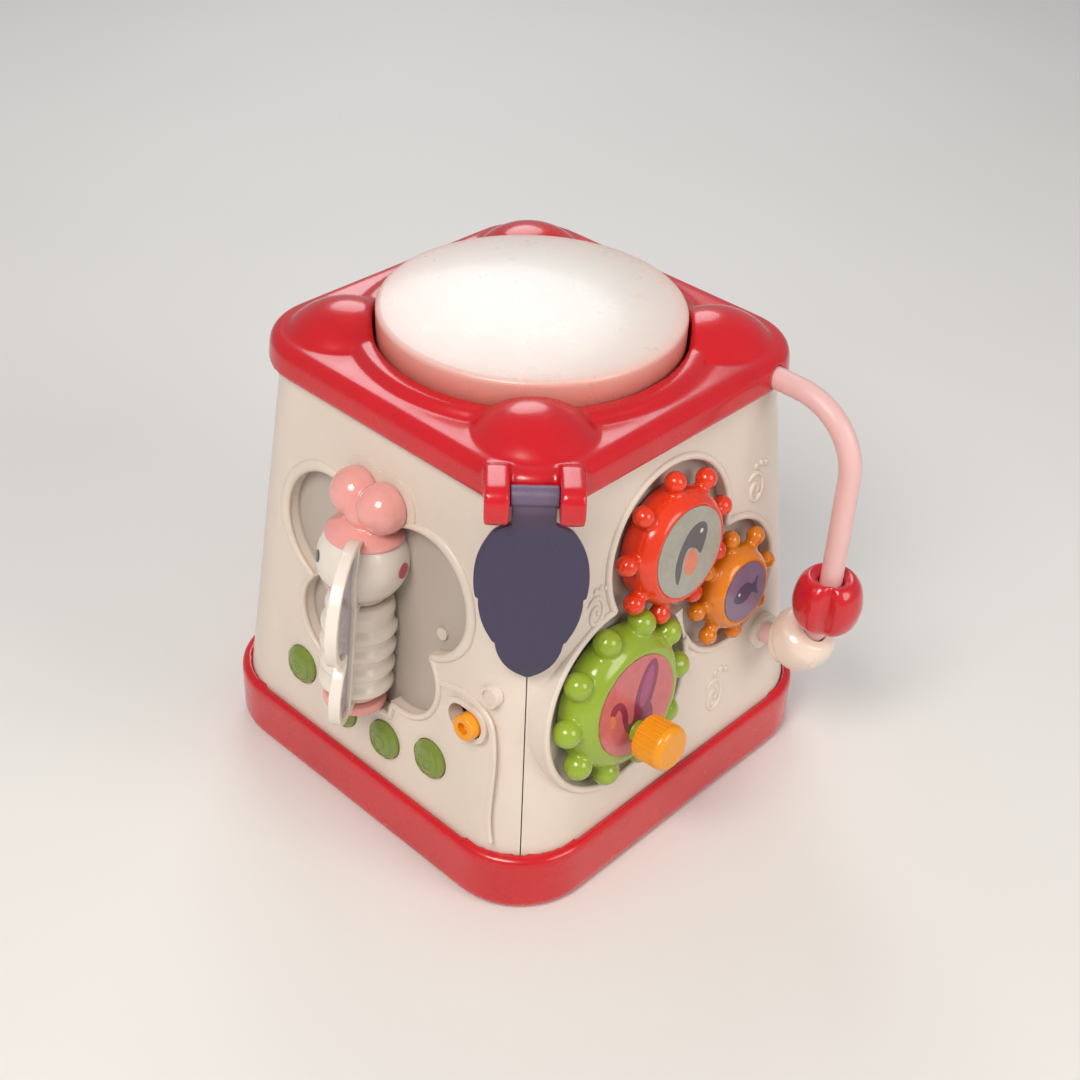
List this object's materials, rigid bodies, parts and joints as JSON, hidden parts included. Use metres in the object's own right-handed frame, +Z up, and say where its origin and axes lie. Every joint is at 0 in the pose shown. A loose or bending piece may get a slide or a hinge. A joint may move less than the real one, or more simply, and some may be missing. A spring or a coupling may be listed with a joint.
{
  "type": "baby activity cube",
  "caption": "Tapered cube activity toy with drum top, turning ball gears, flip-page butterfly, music buttons, leaf flap, bead handle, clock and roller.",
  "frame": {"origin": "centre of the base underside, on the plane it rests on", "axes": "+Z up, -Y towards the butterfly side, +X towards the gear side"},
  "size_m": [0.1977, 0.1959, 0.1815],
  "materials": {
    "red_shell": "glossy moulded ABS, bright red",
    "white_panel": "satin moulded ABS, warm white",
    "drum_skin": "translucent milky plastic",
    "leaf": "dark violet moulded plastic",
    "figure_white": "glossy white plastic",
    "hat_pink": "glossy pale pink plastic",
    "eye_dark": "black gloss print",
    "cheek_pink": "pink gloss print",
    "page_film": "lilac-grey sheet",
    "button_green": "glossy leaf green plastic",
    "yellow": "glossy yellow-orange plastic",
    "gear_lime": "glossy lime green plastic",
    "gear_coral": "glossy orange-red plastic",
    "gear_amber": "glossy amber orange plastic",
    "disc_print": "printed paper disc under clear film",
    "tube_pink": "smooth pale pink coated tube",
    "bead_red": "glossy red bead",
    "bead_cream": "glossy cream bead",
    "steel": "zinc-plated steel",
    "axle_white": "white acetal",
    "battery": "wrapped dry cells",
    "circuit_board": "green circuit board",
    "black_plastic": "black moulded plastic",
    "foam_rubber": "soft foam rubber"
  },
  "bodies": {
    "housing": {"base_tray": "red_shell", "battery_door": "white_panel", "battery_door_screw": "steel", "batteries": "battery", "battery_contacts": "steel", "main_board": "circuit_board", "main_board_screws": "steel", "speaker": "black_plastic", "panel_screws": "steel", "panel_butterfly": "white_panel", "panel_gears": "white_panel", "panel_clock": "white_panel", "panel_roller": "white_panel", "top_cover": "red_shell", "drum_bumper": "foam_rubber", "drum_light_board": "circuit_board", "leaf_hinge_pin": "steel", "figure_head": "figure_white", "figure_eyes": "eye_dark", "figure_cheeks": "cheek_pink", "figure_hat": "hat_pink", "figure_body": "figure_white", "figure_tail": "hat_pink", "page_hinge_pin": "steel", "button_board": "circuit_board", "slide_switch": "black_plastic", "gear_axles": "axle_white", "bead_tube": "tube_pink", "bead_collar": "figure_white", "clock_dial": "figure_white", "clock_pin": "axle_white", "roller_axle": "steel"},
    "drum": {"drum_pad": "drum_skin"},
    "leaf": {"leaf_flap": "leaf"},
    "page": {"page_frame": "figure_white", "page_sheet": "page_film"},
    "key_1": {"button_1": "button_green"},
    "key_2": {"button_2": "button_green"},
    "key_3": {"button_3": "button_green"},
    "key_4": {"button_4": "button_green"},
    "slider": {"slider_knob": "yellow"},
    "green_wheel": {"gear_green": "gear_lime", "gear_green_disc": "disc_print"},
    "red_wheel": {"gear_red": "gear_coral", "gear_red_disc": "disc_print"},
    "orange_wheel": {"gear_orange": "gear_amber", "gear_orange_disc": "disc_print"},
    "crank": {"crank_knob": "yellow"},
    "red_bead": {"bead_red": "bead_red"},
    "white_bead": {"bead_white": "bead_cream"},
    "hour": {"clock_hour_hand": "hat_pink"},
    "minute": {"clock_minute_hand": "yellow"},
    "rattle": {"roller": "yellow"}
  },
  "joints": [
    {"name": "drum_press", "type": "slide", "parent": "housing", "child": "drum", "axis": [0, 0, -1], "range_m": [0, 0.0018], "stiffness_N_per_m": 1500, "springref_m": -0.0006},
    {"name": "button_1_press", "type": "slide", "parent": "housing", "child": "key_1", "axis": [0, 0.9948, -0.102], "range_m": [0, 0.002], "stiffness_N_per_m": 400, "springref_m": -0.0004},
    {"name": "button_2_press", "type": "slide", "parent": "housing", "child": "key_2", "axis": [0, 0.9948, -0.102], "range_m": [0, 0.002], "stiffness_N_per_m": 400, "springref_m": -0.0004},
    {"name": "button_3_press", "type": "slide", "parent": "housing", "child": "key_3", "axis": [0, 0.9948, -0.102], "range_m": [0, 0.002], "stiffness_N_per_m": 400, "springref_m": -0.0004},
    {"name": "button_4_press", "type": "slide", "parent": "housing", "child": "key_4", "axis": [0, 0.9948, -0.102], "range_m": [0, 0.002], "stiffness_N_per_m": 400, "springref_m": -0.0004},
    {"name": "slider_slide", "type": "slide", "parent": "housing", "child": "slider", "axis": [-1, 0, 0], "range_m": [0, 0.005]},
    {"name": "green_spin", "type": "hinge", "parent": "housing", "child": "green_wheel", "pos_m": [0.07502, -0.031, 0.07185], "axis": [0.9948, 0, 0.102], "continuous": true},
    {"name": "red_spin", "type": "hinge", "parent": "housing", "child": "red_wheel", "pos_m": [0.07021, -0.0046, 0.1188], "axis": [0.9948, 0, 0.102], "continuous": true},
    {"name": "orange_spin", "type": "hinge", "parent": "housing", "child": "orange_wheel", "pos_m": [0.07337, 0.026, 0.08796], "axis": [0.9948, 0, 0.102], "continuous": true},
    {"name": "crank_spin", "type": "hinge", "parent": "green_wheel", "child": "crank", "pos_m": [0.08873, -0.031, 0.0627], "axis": [0.9948, 0, 0.102], "continuous": true},
    {"name": "page_turn", "type": "hinge", "parent": "housing", "child": "page", "pos_m": [0, -0.07886, 0.0835], "axis": [0, -0.102, -0.9948], "range_deg": [-60.5, 131.5]},
    {"name": "leaf_lift", "type": "hinge", "parent": "housing", "child": "leaf", "pos_m": [0.06505, -0.06505, 0.1635], "axis": [-0.7071, -0.7071, 0], "range_deg": [0, 110]},
    {"name": "bead_red_slide", "type": "slide", "parent": "housing", "child": "red_bead", "axis": [0, 0, 1], "range_m": [0, 0.039]},
    {"name": "bead_white_swing", "type": "hinge", "parent": "housing", "child": "white_bead", "pos_m": [0.078, 0.047, 0.0815], "axis": [0, 1, 0], "range_deg": [0, 12]},
    {"name": "clock_hour_turn", "type": "hinge", "parent": "housing", "child": "hour", "pos_m": [0, 0.06789, 0.09242], "axis": [0, 0.9948, 0.102], "continuous": true},
    {"name": "clock_minute_turn", "type": "hinge", "parent": "housing", "child": "minute", "pos_m": [0, 0.06789, 0.09242], "axis": [0, 0.9948, 0.102], "continuous": true},
    {"name": "roller_spin", "type": "hinge", "parent": "housing", "child": "rattle", "pos_m": [-0.06473, 0, 0.08406], "axis": [0, 1, 0], "continuous": true}
  ],
  "couplings": [
    {"joint": "red_spin", "follows": "green_spin", "ratio": -1.1111},
    {"joint": "orange_spin", "follows": "green_spin", "ratio": 1.25}
  ]
}
